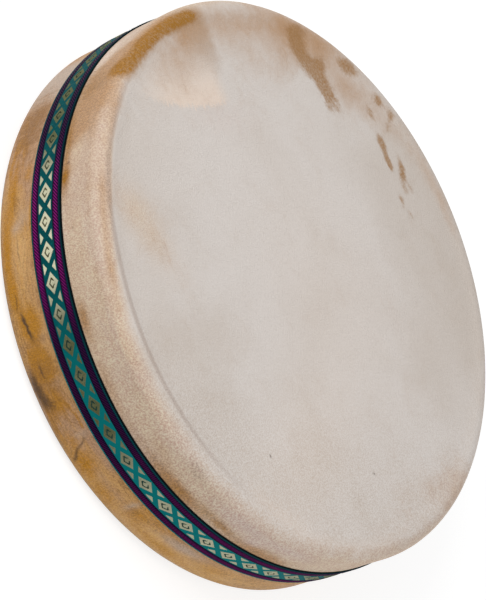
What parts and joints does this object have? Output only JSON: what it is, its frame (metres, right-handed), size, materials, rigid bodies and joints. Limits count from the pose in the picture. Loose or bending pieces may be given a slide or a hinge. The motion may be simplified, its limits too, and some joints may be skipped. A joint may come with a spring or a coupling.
{
  "type": "ocean drum",
  "caption": "Round two-headed goatskin frame drum with a woven ribbon round its side and loose steel shot inside that rolls over the skins with the sound of surf.",
  "frame": {"origin": "on the drum's axis, at the level of the rear head's ridge, on which the drum lies", "axes": "+Z along the drum's axis from the rear head to the played front head; +X and +Y across it, with the ribbon's lap between them"},
  "size_m": [0.3078, 0.3078, 0.075],
  "materials": {
    "hoop_wood": "bare bent plywood",
    "front_skin": "stretched rawhide goatskin, pale, faintly stained",
    "rear_skin": "stretched rawhide goatskin, amber and marbled",
    "tack_metal": "plain",
    "black_tape": "plain woven tape",
    "woven_ribbon": "woven trim with a slight sheen",
    "steel_shot": "polished balls"
  },
  "bodies": {
    "drum": {"hoop_outer_ply": "hoop_wood", "hoop_core_ply": "hoop_wood", "hoop_inner_ply": "hoop_wood", "front_head": "front_skin", "rear_head": "rear_skin", "front_tacks": "tack_metal", "rear_tacks": "tack_metal", "backing_tape": "black_tape", "ribbon": "woven_ribbon"},
    "shot_middle": {"shot_centre": "steel_shot"},
    "shot_ring": {"shot_rim": "steel_shot"},
    "row_near_1": {"shot_row_near_1": "steel_shot"},
    "row_near_2": {"shot_row_near_2": "steel_shot"},
    "row_near_3": {"shot_row_near_3": "steel_shot"},
    "row_near_4": {"shot_row_near_4": "steel_shot"},
    "row_far_1": {"shot_row_far_1": "steel_shot"},
    "row_far_2": {"shot_row_far_2": "steel_shot"},
    "row_far_3": {"shot_row_far_3": "steel_shot"},
    "row_far_4": {"shot_row_far_4": "steel_shot"},
    "side_left": {"shot_left": "steel_shot"},
    "side_right": {"shot_right": "steel_shot"}
  },
  "joints": [
    {"name": "shot_fall", "type": "slide", "parent": "drum", "child": "shot_middle", "axis": [0, 0, 1], "range_m": [0, 0.067]},
    {"name": "rim_swirl", "type": "hinge", "parent": "shot_middle", "child": "shot_ring", "pos_m": [0, 0, 0.00395], "axis": [0, 0, 1], "continuous": true},
    {"name": "near_1_roll", "type": "slide", "parent": "shot_middle", "child": "row_near_1", "axis": [1, 0, 0], "range_m": [-0.078, 0.078]},
    {"name": "near_2_roll", "type": "slide", "parent": "shot_middle", "child": "row_near_2", "axis": [1, 0, 0], "range_m": [-0.0725, 0.0725]},
    {"name": "near_3_roll", "type": "slide", "parent": "shot_middle", "child": "row_near_3", "axis": [1, 0, 0], "range_m": [-0.064, 0.064]},
    {"name": "near_4_roll", "type": "slide", "parent": "shot_middle", "child": "row_near_4", "axis": [1, 0, 0], "range_m": [-0.049, 0.049]},
    {"name": "far_1_roll", "type": "slide", "parent": "shot_middle", "child": "row_far_1", "axis": [1, 0, 0], "range_m": [-0.078, 0.078]},
    {"name": "far_2_roll", "type": "slide", "parent": "shot_middle", "child": "row_far_2", "axis": [1, 0, 0], "range_m": [-0.0725, 0.0725]},
    {"name": "far_3_roll", "type": "slide", "parent": "shot_middle", "child": "row_far_3", "axis": [1, 0, 0], "range_m": [-0.064, 0.064]},
    {"name": "far_4_roll", "type": "slide", "parent": "shot_middle", "child": "row_far_4", "axis": [1, 0, 0], "range_m": [-0.049, 0.049]},
    {"name": "left_roll", "type": "slide", "parent": "shot_middle", "child": "side_left", "axis": [1, 0, 0], "range_m": [-0.0355, 0.0355]},
    {"name": "right_roll", "type": "slide", "parent": "shot_middle", "child": "side_right", "axis": [1, 0, 0], "range_m": [-0.0355, 0.0355]}
  ]
}
